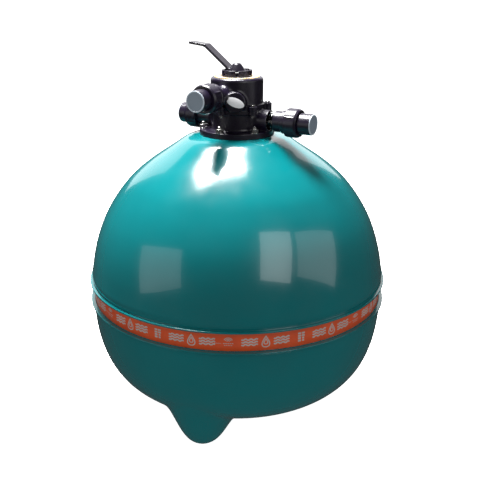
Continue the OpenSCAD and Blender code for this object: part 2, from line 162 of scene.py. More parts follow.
def turn(outline, segments, place=None, swell=None):
    """A surface of revolution about Z of [radius, height] points, moved by place.

    An outline that starts and ends on the axis is closed there; any other is joined into
    a loop. swell(angle, radius, height) may add to the radius.
    """
    outline = [tuple(map(float, p)) for p in outline]
    on_axis = outline[0][0] < 1e-6 and outline[-1][0] < 1e-6
    rows = outline[1:-1] if on_axis else outline
    angles = np.arange(segments) * 2 * math.pi / segments
    verts = []
    for r, z in rows:
        radius = np.full(segments, r)
        if swell:
            radius = radius + np.array([swell(a, r, z) for a in angles])
        ring = np.stack([radius * np.cos(angles), radius * np.sin(angles)], 1)
        verts.append(np.column_stack([ring, np.full(segments, z)]))
    verts = np.concatenate(verts)
    faces = []
    row_pairs = len(rows) - 1 if on_axis else len(rows)
    for i in range(row_pairs):
        a, b = i * segments, ((i + 1) % len(rows)) * segments
        for k in range(segments):
            n = (k + 1) % segments
            faces.append((a + k, a + n, b + n, b + k))
    if on_axis:
        first, last = len(verts), len(verts) + 1
        verts = np.vstack([verts, [0, 0, outline[0][1]], [0, 0, outline[-1][1]]])
        top = (len(rows) - 1) * segments
        for k in range(segments):
            n = (k + 1) % segments
            faces.append((first, n, k))
            faces.append((last, top + k, top + n))
    if place is not None:
        verts = moved(verts, place)
    return verts, faces


def moved(points, place):
    """Points carried by a 4x4 placement in millimetres."""
    m = np.array(place, float)
    return np.asarray(points, float) @ m[:3, :3].T + m[:3, 3]


def joined(parts):
    """Several (verts, faces) as one."""
    verts, faces, start = [], [], 0
    for v, f in parts:
        verts.append(np.asarray(v, float))
        faces += [tuple(i + start for i in face) for face in f]
        start += len(v)
    return np.concatenate(verts), faces


def along_port(turn_deg, z):
    """Placement that lays +Z along a horizontal port at the height z, with +Y kept level."""
    return (
        Matrix.Translation((0, 0, z))
        @ Matrix.Rotation(math.radians(turn_deg), 4, "Z")
        @ Matrix.Rotation(math.radians(90), 4, "Y")
    )


PUMP = along_port(-90, PUMP_PORT_Z)
RETURN = along_port(0, SIDE_PORT_Z)
WASTE = along_port(180, SIDE_PORT_Z)


def hex_prism(flats, hole, height, chamfer, segments=72):
    """A hexagon nut or bolt head about Z from 0 to height, with turned chamfers on its corners."""
    angles = np.arange(segments) * 2 * math.pi / segments
    half = flats / 2
    edge = half / np.cos((angles + math.pi / 6) % (math.pi / 3) - math.pi / 6)
    crown = half - chamfer
    rings = []

    def ring(radius, z):
        z = np.broadcast_to(z, radius.shape)
        rings.append(np.column_stack([radius * np.cos(angles), radius * np.sin(angles), z]))

    slope = math.tan(math.radians(28))
    drop = np.maximum(edge - crown, 0) * slope
    even = np.ones(segments)
    ring(even * max(hole, 0.4), 0.0)
    ring(even * crown, 0.0)
    ring(edge, drop)
    ring(edge, height - drop)
    ring(even * crown, height)
    ring(even * max(hole, 0.4), height)
    verts = np.concatenate(rings)
    faces = []
    count = len(rings)
    for i in range(count):
        a, b = i * segments, ((i + 1) % count) * segments
        for k in range(segments):
            n = (k + 1) % segments
            faces.append((a + k, a + n, b + n, b + k))
    return verts, faces


# ---- distance fields ----


def local(p, place):
    """Points seen from a placement."""
    back = np.array(Matrix(place).inverted(), float)
    return p @ back[:3, :3].T + back[:3, 3]


def disc(p, radius, z0, z1, edge=0.0):
    """Cylinder about Z with rounded edges."""
    out = np.hypot(p[:, 0], p[:, 1]) - radius + edge
    up = np.abs(p[:, 2] - (z0 + z1) / 2) - (z1 - z0) / 2 + edge
    outside = np.hypot(np.maximum(out, 0), np.maximum(up, 0))
    return np.minimum(np.maximum(out, up), 0) + outside - edge


def slab(p, centre, half, edge=0.0):
    """Box with rounded edges."""
    q = np.abs(p - np.array(centre, float)) - np.array(half, float) + edge
    return (
        np.minimum(q.max(1), 0) + np.sqrt((np.maximum(q, 0) ** 2).sum(1)) - edge
    )


def melt(a, b, k):
    """Union of two fields with a fillet about k wide."""
    h = np.maximum(k - np.abs(a - b), 0) / k
    return np.minimum(a, b) - h * h * k / 4


def cut(a, b, k=0.8):
    """Field a with field b taken out, and the new edge rounded."""
    return -melt(-a, b, k)


def around(p, angle):
    """Points turned so that the given polar angle in degrees lies along +X."""
    a = math.radians(angle)
    x = p[:, 0] * math.cos(a) + p[:, 1] * math.sin(a)
    y = -p[:, 0] * math.sin(a) + p[:, 1] * math.cos(a)
    return np.column_stack([x, y, p[:, 2]])


def sixfold(p, first=30):
    """Points folded into one of six equal sectors, whose middle lies along +X."""
    r = np.hypot(p[:, 0], p[:, 1])
    a = np.arctan2(p[:, 1], p[:, 0]) - math.radians(first)
    a = (a + math.pi / 6) % (math.pi / 3) - math.pi / 6
    return np.column_stack([r * np.cos(a), r * np.sin(a), p[:, 2]])


def surface_net(field, low, high, step):
    """Closed quad mesh of a field's zero surface, with its exact normals."""
    low, high = np.array(low, float), np.array(high, float)
    n = np.ceil((high - low) / step).astype(int) + 1
    axes = [low[i] + step * np.arange(n[i]) for i in range(3)]
    values = np.empty(n)
    yy, zz = np.meshgrid(axes[1], axes[2], indexing="ij")
    plane = np.column_stack([np.zeros(yy.size), yy.ravel(), zz.ravel()])
    for i, x in enumerate(axes[0]):
        plane[:, 0] = x
        values[i] = field(plane).reshape(n[1], n[2])
    inside = values < 0
    cells = tuple(n - 1)
    total = np.zeros(cells + (3,))
    hits = np.zeros(cells)
    edges = []
    for axis in range(3):
        lower = [slice(None)] * 3
        upper = [slice(None)] * 3
        lower[axis] = slice(0, -1)
        upper[axis] = slice(1, None)
        v0, v1 = values[tuple(lower)], values[tuple(upper)]
        crossing = inside[tuple(lower)] != inside[tuple(upper)]
        i, j, k = np.nonzero(crossing)
        t = v0[i, j, k] / (v0[i, j, k] - v1[i, j, k])
        point = np.column_stack([axes[0][i], axes[1][j], axes[2][k]])
        point[:, axis] += t * step
        others = [a for a in range(3) if a != axis]
        index = np.column_stack([i, j, k])
        for da in (0, 1):
            for db in (0, 1):
                cell = index.copy()
                cell[:, others[0]] -= da
                cell[:, others[1]] -= db
                np.add.at(total, tuple(cell.T), point)
                np.add.at(hits, tuple(cell.T), 1)
        edges.append((axis, others, index, inside[tuple(lower)][i, j, k]))
    used = hits > 0
    number = np.full(cells, -1)
    number[used] = np.arange(used.sum())
    verts = total[used] / hits[used][:, None]
    quads = []
    for axis, others, index, starts_inside in edges:
        loop = []
        for da, db in ((1, 1), (0, 1), (0, 0), (1, 0)):
            cell = index.copy()
            cell[:, others[0]] -= da
            cell[:, others[1]] -= db
            loop.append(number[tuple(cell.T)])
        quad = np.column_stack(loop)
        flip = starts_inside if axis == 1 else ~starts_inside
        quad[flip] = quad[flip][:, ::-1]
        quads.append(quad)
    quads = np.concatenate(quads)
    for _ in range(3):
        slope = gradient(field, verts)
        length = np.maximum((slope**2).sum(1), 1e-6)
        shift = slope * (field(verts) / length)[:, None]
        size = np.linalg.norm(shift, axis=1)
        shift *= np.minimum(1, 0.5 * step / np.maximum(size, 1e-9))[:, None]
        verts = verts - shift
    slope = gradient(field, verts)
    normals = slope / np.maximum(np.linalg.norm(slope, axis=1), 1e-9)[:, None]
    return verts, quads.tolist(), normals


def gradient(field, p, h=0.15):
    """Slope of a field at points."""
    result = np.empty_like(p)
    for axis in range(3):
        shift = np.zeros(3)
        shift[axis] = h
        result[:, axis] = (field(p + shift) - field(p - shift)) / (2 * h)
    return result


# ---- materials ----


class Shader:
    """A Principled material under construction."""

    def __init__(self, name, **sockets):
        self.material = bpy.data.materials.new(name)
        self.material.use_nodes = True
        self.tree = self.material.node_tree
        self.bsdf = self.tree.nodes["Principled BSDF"]
        for key, value in sockets.items():
            self.bsdf.inputs[key.replace("_", " ")].default_value = value
        coords = self.tree.nodes.new("ShaderNodeTexCoord")
        self.coords = coords.outputs["Object"]

    def node(self, kind, links=None, **settings):
        made = self.tree.nodes.new("ShaderNode" + kind)
        for key, value in settings.items():
            if key in made.bl_rna.properties:
                setattr(made, key, value)
            else:
                made.inputs[key.replace("_", " ")].default_value = value
        for key, source in (links or {}).items():
            self.tree.links.new(source, made.inputs[key])
        return made

    def noise(self, scale, detail=2.0, roughness=0.5, coords=None):
        """Noise with its features 1/scale metres across."""
        made = self.node(
            "TexNoise",
            {"Vector": coords or self.coords},
            Scale=scale,
            Detail=detail,
            Roughness=roughness,
        )
        return made.outputs["Fac"]

    def spread(self, source, low, high, start=0.3, stop=0.7):
        """source from start..stop mapped to low..high."""
        made = self.node("MapRange", {"Value": source})
        made.inputs["From Min"].default_value = start
        made.inputs["From Max"].default_value = stop
        made.inputs["To Min"].default_value = low
        made.inputs["To Max"].default_value = high
        return made.outputs["Result"]

    def math(self, operation, a, b=None, c=None):
        made = self.node("Math", operation=operation)
        for socket, value in zip(made.inputs, (a, b, c)):
            if value is None:
                continue
            if isinstance(value, (int, float)):
                socket.default_value = value
            else:
                self.tree.links.new(value, socket)
        return made.outputs[0]

    def blend(self, factor, a, b):
        """Colour a where factor is 0, b where it is 1."""
        made = self.node("Mix", data_type="RGBA")
        if isinstance(factor, float):
            made.inputs["Factor"].default_value = factor
        else:
            self.tree.links.new(factor, made.inputs["Factor"])
        for key, value in (("A", a), ("B", b)):
            socket = [s for s in made.inputs if s.name == key and s.type == "RGBA"][0]
            if isinstance(value, tuple):
                socket.default_value = (*value, 1)
            else:
                self.tree.links.new(value, socket)
        return [s for s in made.outputs if s.type == "RGBA"][0]

    def bump(self, height, distance, strength=1.0, normal=None):
        links = {"Height": height}
        if normal is not None:
            links["Normal"] = normal
        made = self.node("Bump", links, Distance=distance, Strength=strength)
        return made.outputs["Normal"]

    def set(self, **sources):
        for key, source in sources.items():
            self.tree.links.new(source, self.bsdf.inputs[key.replace("_", " ")])
        return self.material


def gel_coat():
    """Thick glossy teal moulding: even colour, a faint ripple, fine dust marks."""
    s = Shader("tank_gloss", IOR=1.5, Coat_Weight=0.55, Coat_Roughness=0.035)
    cloud = s.noise(5.0, 3.0)
    colour = s.blend(s.spread(cloud, 0.0, 1.0), TEAL_DEEP, TEAL)
    speck = s.noise(900.0, 2.0, 0.7)
    colour = s.blend(s.spread(speck, 0.0, 0.12, 0.55, 0.8), colour, (0.02, 0.20, 0.21))
    roughness = s.spread(s.noise(14.0, 4.0, 0.6), 0.16, 0.24)
    ripple = s.bump(s.noise(9.0, 1.0), 0.0012, 0.35)
    peel = s.bump(s.noise(420.0, 2.0), 0.00004, 0.25, ripple)
    return s.set(Base_Color=colour, Roughness=roughness, Normal=peel)


def moulded(name, colour, worn, low, high, grain=900.0, depth=0.00004, coat=0.0):
    """Injection-moulded plastic with a fine grain and slightly uneven gloss."""
    s = Shader(name, IOR=1.5, Coat_Weight=coat, Coat_Roughness=0.12)
    cloud = s.noise(22.0, 4.0, 0.6)
    tone = s.blend(s.spread(cloud, 0.0, 1.0), colour, worn)
    roughness = s.spread(s.noise(60.0, 5.0, 0.65), low, high)
    flow = s.bump(s.noise(35.0, 2.0), 0.0004, 0.2)
    fine = s.bump(s.noise(grain, 3.0, 0.6), depth, 0.5, flow)
    return s.set(Base_Color=tone, Roughness=roughness, Normal=fine)


def metal(name, colour, dull, low, high, scratch=260.0):
    """Machined metal with turning marks and slight stains."""
    s = Shader(name, Metallic=1.0)
    stain = s.noise(90.0, 5.0, 0.6)
    tone = s.blend(s.spread(stain, 0.0, 1.0), colour, dull)
    stretch = s.node("Mapping", {"Vector": s.coords})
    stretch.inputs["Scale"].default_value = (1.0, 1.0, 9.0)
    lines = s.noise(scratch, 3.0, 0.7, stretch.outputs[0])
    roughness = s.spread(lines, low, high)
    marks = s.bump(lines, 0.00003, 0.5)
    return s.set(Base_Color=tone, Roughness=roughness, Normal=marks)


def elastomer():
    """Black rubber with a dusty bloom."""
    s = Shader("seal_rubber", IOR=1.45, Specular_IOR_Level=0.35)
    bloom = s.noise(160.0, 4.0, 0.6)
    tone = s.blend(s.spread(bloom, 0.0, 1.0), (0.012, 0.012, 0.012), (0.035, 0.034, 0.033))
    roughness = s.spread(s.noise(220.0, 3.0), 0.55, 0.75)
    fine = s.bump(s.noise(1400.0, 2.0), 0.00005, 0.5)
    return s.set(Base_Color=tone, Roughness=roughness, Normal=fine)


def band_paper(name, colour, shade):
    """Printed plastic tape: flat ink with a slight mottle and fine wrinkles."""
    s = Shader(name, IOR=1.45, Coat_Weight=0.3, Coat_Roughness=0.15)
    mottle = s.noise(30.0, 5.0, 0.65)
    tone = s.blend(s.spread(mottle, 0.0, 1.0), colour, shade)
    fibre = s.noise(700.0, 3.0, 0.7)
    tone = s.blend(s.spread(fibre, 0.0, 0.25, 0.5, 0.8), tone, shade)
    roughness = s.spread(s.noise(80.0, 4.0), 0.3, 0.45)
    wrinkle = s.bump(s.noise(45.0, 3.0, 0.6), 0.0003, 0.3)
    return s.set(Base_Color=tone, Roughness=roughness, Normal=wrinkle)


def clear_plastic():
    """Clear moulded sight glass with light scuffs."""
    s = Shader("sight_clear", IOR=1.3, Transmission_Weight=1.0)
    haze = s.noise(120.0, 4.0, 0.6)
    tone = s.blend(s.spread(haze, 0.0, 1.0), (0.97, 0.985, 0.98), (0.92, 0.95, 0.95))
    roughness = s.spread(s.noise(300.0, 4.0, 0.7), 0.0, 0.04)
    flow = s.bump(s.noise(60.0, 2.0), 0.0001, 0.2)
    return s.set(Base_Color=tone, Roughness=roughness, Normal=flow)


TEAL = (0.001, 0.150, 0.162)
TEAL_DEEP = (0.001, 0.134, 0.146)

M_TANK = gel_coat()
M_BAND = band_paper("band_ink", (0.72, 0.088, 0.014), (0.60, 0.068, 0.012))
M_MARK = band_paper("mark_ink", (0.52, 0.47, 0.44), (0.42, 0.37, 0.34))
M_BLACK = moulded("valve_black", (0.0060, 0.0034, 0.0125), (0.0100, 0.0060, 0.0190), 0.26, 0.38)
M_ROTOR = moulded("rotor_black", (0.020, 0.019, 0.021), (0.03, 0.029, 0.031), 0.35, 0.5)
M_LEVER = moulded("lever_gloss", (0.008, 0.006, 0.011), (0.013, 0.011, 0.018), 0.18, 0.28)
M_LEVER.node_tree.nodes["Principled BSDF"].inputs["Specular IOR Level"].default_value = 0.3
M_STEEL = metal("stainless_steel", (0.80, 0.79, 0.77), (0.62, 0.61, 0.60), 0.14, 0.30)
M_BRASS = metal("insert_brass", (0.72, 0.50, 0.22), (0.55, 0.36, 0.16), 0.22, 0.4)
M_RUBBER = elastomer()
M_PIPE = moulded("pipe_grey", (0.20, 0.235, 0.27), (0.17, 0.20, 0.235), 0.35, 0.5)
M_PLUG = moulded("plug_grey", (0.20, 0.25, 0.30), (0.165, 0.21, 0.26), 0.32, 0.46)
M_PLUG_RIM = moulded("plug_rim", (0.46, 0.52, 0.57), (0.38, 0.44, 0.50), 0.25, 0.4)
M_NYLON = moulded("nylon_white", (0.78, 0.78, 0.75), (0.70, 0.70, 0.66), 0.35, 0.5)
M_GLASS = clear_plastic()

# ---- tank ----

BOWL_R = 375.5
BOWL_H = 372.5
BOWL_MID = 426.8
BOWL_POWER = 3.676
WALL = 7.0
WAIST_R = 369.0
LIP_Z = 369.0
LIP_GAP = 51.0
FOOT_REACH = 238.0
FOOT_SIZE = 66.0
FOOT_FLAT = 2.0
FOOT_BLEND = 75.0
FOOT_ANGLES = [-81, 39, 159]
SHOULDER = [
    (374, 388), (365, 437), (352, 483), (334, 527), (311, 567), (285, 602),
    (258, 631), (217, 664), (166, 698), (126, 724), (97, NECK_Z - 1.2),
]
TANK_SEGMENTS = 300
DRAIN_TURN = 98
DRAIN_Z = 150.0
DRAIN_FACE = 354.0


def bowl_height(r, inset=0.0):
    """Height of the lower bowl's surface at the radius r."""
    share = np.clip(np.asarray(r, float) / (BOWL_R - inset), 0, 1)
    return BOWL_MID - (BOWL_H - inset) * (1 - share**BOWL_POWER) ** (1 / BOWL_POWER)


def bowl_radius(z):
    """Radius of the lower bowl's surface at the height z."""
    share = np.clip((BOWL_MID - np.asarray(z, float)) / BOWL_H, 0, 1)
    return BOWL_R * (1 - share**BOWL_POWER) ** (1 / BOWL_POWER)


def foot_height(rho, inset=0.0):
    """Height of a foot's surface at the distance rho from the foot's middle."""
    cube = FOOT_SIZE * ((rho + 0.75 * inset) / FOOT_SIZE) ** 3 - FOOT_FLAT
    return np.maximum(cube, 0) + inset


def catmull(points, steps):
    """Points of a smooth curve through the given points."""
    p = [np.array(q, float) for q in points]
    result = []
    for i in range(len(p) - 1):
        a, b = p[max(i - 1, 0)], p[i]
        c, d = p[i + 1], p[min(i + 2, len(p) - 1)]
        for k in range(steps):
            t = k / steps
            curve = 2 * b + (c - a) * t + (2 * a - 5 * b + 4 * c - d) * t * t
            curve = curve + (3 * b - a - 3 * c + d) * t**3
            result.append(tuple(0.5 * curve))
    result.append(tuple(p[-1]))
    return result


def spaced(curve, spacing):
    """A dense curve resampled so that the gap near radius r is spacing(r)."""
    kept = [curve[0]]
    gone = 0.0
    for a, b in zip(curve, curve[1:]):
        gone += math.dist(a, b)
        if gone >= spacing(b[0]):
            kept.append(b)
            gone = 0.0
    return kept


def bowl_curve(inset, top, spacing):
    """Outline of the bowl from its lowest point up to the height top."""
    angles = np.radians(np.linspace(90, 4, 4000))
    r = (BOWL_R - inset) * np.cos(angles) ** (2 / BOWL_POWER)
    z = BOWL_MID - (BOWL_H - inset) * np.sin(angles) ** (2 / BOWL_POWER)
    curve = [(0.0, BOWL_MID - BOWL_H + inset)] + [q for q in zip(r, z) if q[1] < top and q[0] > 4]
    return spaced(curve, spacing)


def foot_warp(x, y):
    """Moves points beside a foot so that they stay evenly spaced on its steep sides."""
    far = 100.0
    rho = np.linspace(0, far, 400)
    height = np.minimum(foot_height(rho), 75.0)
    length = np.concatenate([[0], np.cumsum(np.hypot(np.diff(rho), np.diff(height)))])
    even = length / length[-1] * far
    for angle in FOOT_ANGLES:
        a = math.radians(angle)
        dx, dy = x - FOOT_REACH * math.cos(a), y - FOOT_REACH * math.sin(a)
        old = np.hypot(dx, dy)
        near = (old < far) & (old > 1e-6)
        new = np.interp(old, even, rho)
        scale = np.where(near, new / np.maximum(old, 1e-6), 1.0)
        x = x + dx * (scale - 1)
        y = y + dy * (scale - 1)
    return x, y


def with_feet(verts, rows, inset):
    """Pulls the given bowl vertices down into the three feet."""
    x, y = foot_warp(verts[rows, 0], verts[rows, 1])
    r = np.hypot(x, y)
    z = bowl_height(r, inset)
    for angle in FOOT_ANGLES:
        a = math.radians(angle)
        rho = np.hypot(x - FOOT_REACH * math.cos(a), y - FOOT_REACH * math.sin(a))
        z = melt(z, foot_height(rho, inset), FOOT_BLEND)
    verts[rows, 0], verts[rows, 1] = x, y
    verts[rows, 2] = np.maximum(z, inset)


def lip_outline(z, below, above):
    """Outline of a thin moulded lip at the height z, from the wall below to the wall above."""
    root = LIP_R - 8.5
    shape = [below, (root, z - 2.6), (LIP_R, z - 2.0), (LIP_R, z + 2.0), (root, z + 2.6), above]
    return rounded(shape, [0, 2.0, 1.3, 1.3, 2.0, 0], closed=False, steps=4)


def tank_outline():
    """Outline of the moulded tank from the bottom's middle, up outside and back down inside."""
    low_lip = LIP_Z - LIP_GAP
    outer = bowl_curve(0.0, low_lip - 6, lambda r: 3.7 if 140 < r < 340 else 9.0)
    feet_rows = len([p for p in outer if p[0] < 341])
    low = lip_outline(low_lip, (float(bowl_radius(low_lip - 5)), low_lip - 5), (WAIST_R, low_lip + 3.8))
    high = lip_outline(LIP_Z, (WAIST_R, LIP_Z - 6), (374.0, LIP_Z + 9))
    shoulder = catmull(SHOULDER, 7)
    neck = [(94.6, NECK_Z - 0.3), (93.6, NECK_Z), (80.0, NECK_Z), (62.0, NECK_Z), (62.0, NECK_Z - 28)]
    inner_top = [(104.0, NECK_Z - 30)]
    inside = [(r - 5.4, z - 4.6) for r, z in reversed(catmull(SHOULDER[:-2], 2))]
    waist = [(WAIST_R - WALL, LIP_Z), (WAIST_R - WALL, low_lip)]
    inner = bowl_curve(WALL, low_lip - 8, lambda r: 6.0 if 140 < r < 340 else 14.0)
    inner_feet = len([p for p in inner if p[0] < 335])
    whole = outer + low + high + shoulder + neck + inner_top + inside + waist + inner[::-1]
    return whole, feet_rows, inner_feet


def drain_boss():
    """Raised pad on the rear wall, blended into it, that takes the drain's spigot."""
    distances = [12, 18, 22, 24, 25, 25.8, 26.4, 27, 28, 29.5, 31.5, 34, 37, 41, 46, 52, 58, 64]
    angles = np.arange(96) * 2 * math.pi / 96
    rows = []
    for depth in (0.0, 4.5):
        order = distances if depth == 0 else distances[::-1]
        for d in order:
            u, v = d * np.cos(angles), d * np.sin(angles)
            wall = np.sqrt(bowl_radius(DRAIN_Z + v) ** 2 - u**2)
            pad = np.full(96, DRAIN_FACE - 9.0 * max(d - 24.6, 0.0) - 0.15 * max(d - 23, 0) ** 2)
            front = -melt(-wall, -pad, 9.0)
            sink = 0.9 * min(max((d - 50) / 14, 0), 1)
            front = front - sink
            if depth > 0:
                front = np.minimum(front, wall) - depth
            rows.append(np.column_stack([-v, u, front]))
    verts = np.concatenate(rows)
    faces = []
    count, n = len(rows), 96
    for i in range(count):
        a, b = i * n, ((i + 1) % count) * n
        for k in range(n):
            m = (k + 1) % n
            faces.append((a + k, b + k, b + m, a + m))
    return moved(verts, along_port(DRAIN_TURN, DRAIN_Z)), faces


def build_tank():
    """The moulded shell, its feet and the pad for the drain."""
    outline, feet_rows, inner_feet = tank_outline()
    verts, faces = turn(outline, TANK_SEGMENTS)
    outer = np.arange(0, (feet_rows - 1) * TANK_SEGMENTS)
    with_feet(verts, outer, 0.0)
    first_inner = (len(outline) - 1 - inner_feet) * TANK_SEGMENTS
    inner = np.arange(first_inner, (len(outline) - 2) * TANK_SEGMENTS)
    with_feet(verts, inner, WALL)
    verts, faces = joined([(verts, faces), drain_boss()])
    return add_piece(
        "tank", verts, faces, M_TANK, "filter", ["tank_shell"]
    )


# ---- printed band ----

PRINT_PROUD = 0.12
REPEATS = 14
FIRST_MOTIF = 1.3


def stroke(points, width, closed=False):
    """A flat strip of the given width along points, as 2-D points and quads."""
    p = np.array(points, float)
    if closed:
        ahead, behind = np.roll(p, -1, 0), np.roll(p, 1, 0)
    else:
        ahead = np.vstack([p[1:], p[-1:]])
        behind = np.vstack([p[:1], p[:-1]])
    d = ahead - behind
    d /= np.linalg.norm(d, axis=1)[:, None]
    side = np.column_stack([-d[:, 1], d[:, 0]]) * width / 2
    verts = np.concatenate([p + side, p - side])
    n = len(p)
    quads = [(k, (k + 1) % n, n + (k + 1) % n, n + k) for k in range(n if closed else n - 1)]
    return verts, quads


def block(u, v, width, height, columns=2):
    """A filled rectangle centred on u, v."""
    line = [(u - width / 2 + width * k / columns, v) for k in range(columns + 1)]
    return stroke(line, height)


def wave(u0, u1, v, size, pitch, width):
    """A wavy line."""
    u = np.linspace(u0, u1, 25)
    return stroke([(a, v + size * math.sin(2 * math.pi * a / pitch)) for a in u], width)


def drop_outline(height, width, steps=36):
    """Outline of a water drop."""
    points = []
    for k in range(steps):
        t = 2 * math.pi * k / steps
        round_off = math.sin(t / 2) ** 1.6
        points.append((width / 2 * math.sin(t) * round_off, height / 2 * math.cos(t)))
    return points


def large_motif():
    """A water drop between two groups of waves."""
    parts = [stroke(drop_outline(27, 25), 2.4, True), stroke(drop_outline(13, 12), 2.0, True)]
    for side in (-1, 1):
        for v in (-6.4, 0.0, 6.4):
            near, far = side * 18, side * 54
            parts.append(wave(min(near, far), max(near, far), v, 1.5, 12, 3.4))
    return parts


def tile_icon():
    """Two columns of small tiles."""
    parts = []
    for v in (-9.0, -3.0, 3.0, 9.0):
        parts.append(block(-4.6, v, 7.4, 4.2))
        parts.append(block(4.6, v, 7.4 if v > 0 else 5.0, 4.2))
    return parts


def ripple_icon():
    """Three short arcs over a broken line."""
    parts = []
    for size, v in ((9.0, 4.0), (6.0, 3.0), (3.0, 2.0)):
        arc = [
            (size * math.cos(t), v + 0.75 * size * math.sin(t))
            for t in np.linspace(0.15, math.pi - 0.15, 12)
        ]
        parts.append(stroke(arc, 1.7))
    for u in (-9.5, -4.7, 0.0, 4.7, 9.5):
        parts.append(block(u, -3.0, 3.2, 1.6))
        parts.append(block(u * 0.8, -7.5, 2.4, 1.4))
    parts.append(block(-24.0, -3.0, 16.0, 0.8, 5))
    return parts


def wrapped(parts, angle):
    """Flat shapes laid round the band at a polar angle, as thin closed prisms."""
    result = []
    for points, quads in parts:
        n = len(points)
        turned = math.radians(angle) + points[:, 0] / BAND_R
        layers = []
        for r in (BAND_R - 0.2, BAND_R + PRINT_PROUD):
            layers.append(
                np.column_stack([r * np.cos(turned), r * np.sin(turned), BAND_Z + points[:, 1]])
            )
        faces = [tuple(i + n for i in q[::-1]) for q in quads] + [tuple(q) for q in quads]
        uses = {}
        for q in quads:
            for a, b in zip(q, q[1:] + q[:1]):
                uses[(a, b)] = True
        for a, b in uses:
            if (b, a) not in uses:
                faces.append((b, a, a + n, b + n))
        result.append((np.concatenate(layers), faces))
    return result


def build_band():
    """The tape between the two lips, and its print."""
    edge = 0.3
    section = [
        (BAND_R - 0.55, LOW["label_band"][2]), (BAND_R, LOW["label_band"][2]),
        (BAND_R, HIGH["label_band"][2]), (BAND_R - 0.55, HIGH["label_band"][2]),
    ]
    verts, faces = turn(rounded(section, [0, edge, edge, 0], steps=2), 360)
    add_piece("band", verts, faces, M_BAND, "filter", ["label_band"])
    marks = []
    pitch = 360 / REPEATS
    for k in range(REPEATS):
        middle = FIRST_MOTIF + pitch * k
        marks += wrapped(large_motif(), middle)
        icon = tile_icon() if k % 2 == 0 else ripple_icon()
        marks += wrapped(icon, middle + pitch / 2)
    verts, faces = joined(marks)
    piece = add_piece("band_marks", verts, faces, M_MARK, "filter")
    piece.data.set_sharp_from_angle(angle=math.radians(30))


# ---- valve castings ----

VALVE_STEP = 1.25
LUG_R = 10.0
JOINT_R = 68.0
JOINT_T = 10.0
BORE_R = 17.0
PUMP_BORE_R = 14.5
PUMP_NECK_R = 19.0
THREAD_R = 30.0
NUT_TO_FACE = 16.0
CHAMBER_R = 57.0
CHAMBER_TOP = 860.0
GLAND_R = 16.0
GLAND_Z = 852.0
SEAT_R = 57.0
SEAT_DEPTH = 6.0
BADGE_TURN = -62.9
BADGE_TILT = 12
BADGE_AXIS_Z = 802.5
BADGE_FACE = 84.0
BADGE_SPIN = -21.0
BADGE = (
    Matrix.Translation((0, 0, BADGE_AXIS_Z))
    @ Matrix.Rotation(math.radians(BADGE_TURN), 4, "Z")
    @ Matrix.Rotation(math.radians(90 - BADGE_TILT), 4, "Y")
)


def thread(q, radius, z0, z1, pitch=3.0, depth=0.7):
    """Cylinder with rounded thread ridges."""
    turn_share = np.arctan2(q[:, 1], q[:, 0]) / (2 * math.pi)
    ridge = depth * (0.5 + 0.5 * np.cos(2 * math.pi * (q[:, 2] / pitch - turn_share)))
    return disc(q, radius - depth, z0, z1, 0.8) - ridge * 0.9


def joint_flange(p, z0, z1):
    """Half of the joint between the two castings, with its six bolt lugs."""
    ring = disc(p, JOINT_R, z0, z1, 0.7)
    folded = sixfold(p)
    folded[:, 0] -= JOINT_BOLT_R
    return melt(ring, disc(folded, LUG_R, z0, z1, 0.7), 6.0)


def valve_lower(p):
    """Lower casting: flange, barrel, return and waste necks."""
    flange = disc(p, FLANGE_R, NECK_Z, NECK_Z + 13, 1.5)
    barrel = disc(p, BODY_R, NECK_Z + 2, JOINT_Z, 0.5)
    f = melt(flange, barrel, 8.0)
    waste = local(p, WASTE)
    back = local(p, RETURN)
    waste_start = -HIGH["waste_union_nut"][0]
    f = melt(f, disc(back, TAIL_R, 30, LOW["sight_glass"][0] + 8, 1.0), 12.0)
    f = melt(f, disc(waste, TAIL_R, 30, waste_start + 10, 1.0), 12.0)
    f = melt(f, thread(waste, THREAD_R, waste_start + 2, waste_start + NUT_TO_FACE), 2.0)
    f = melt(f, joint_flange(p, JOINT_Z - JOINT_T, JOINT_Z), 4.0)
    for pocket in range(3):
        f = cut(f, disc(around(p, 120 * pocket + 60) - [34.0, 0, 0], 15.0, NECK_Z + 16, JOINT_Z + 9))
    f = cut(f, disc(p, 21.0, NECK_Z - 20, JOINT_Z - 9))
    f = cut(f, disc(p, SEAT_R, JOINT_Z - SEAT_DEPTH, JOINT_Z + 9))
    f = cut(f, disc(back, BORE_R, 50, 200))
    f = cut(f, disc(back, 23.05, LOW["sight_glass"][0], 200))
    f = cut(f, disc(waste, BORE_R, 50, 200))
    return np.maximum(f, np.maximum(NECK_Z - p[:, 2], p[:, 2] - JOINT_Z))


def valve_upper(p):
    """Upper casting: domed barrel, pump neck, boss for the badge and the stem's boss."""
    barrel = disc(p, BODY_R, JOINT_Z - 20, TOP_Z, 8.0)
    f = melt(barrel, disc(p, 24.0, TOP_Z - 4, BOSS_Z, 1.2), 3.0)
    pump = local(p, PUMP)
    start = -HIGH["pump_union_nut"][1]
    f = melt(f, disc(pump, PUMP_NECK_R, 30, start, 1.0), 12.0)
    f = melt(f, disc(pump, THREAD_R + 1.2, start - 16, start - 6, 1.4), 3.0)
    f = melt(f, thread(pump, THREAD_R, start - 8, start + NUT_TO_FACE), 1.5)
    badge = local(p, BADGE)
    f = melt(f, disc(badge, 24.0, 20, BADGE_FACE, 2.2), 9.0)
    f = melt(f, joint_flange(p, JOINT_Z, JOINT_Z + JOINT_T), 4.0)
    f = cut(f, disc(p, CHAMBER_R, JOINT_Z - 20, CHAMBER_TOP, 2.0))
    f = cut(f, disc(pump, PUMP_BORE_R, 50, 200))
    f = cut(f, disc(p, GLAND_R, GLAND_Z, BOSS_Z + 10), 0.6)
    return np.maximum(f, JOINT_Z - p[:, 2])


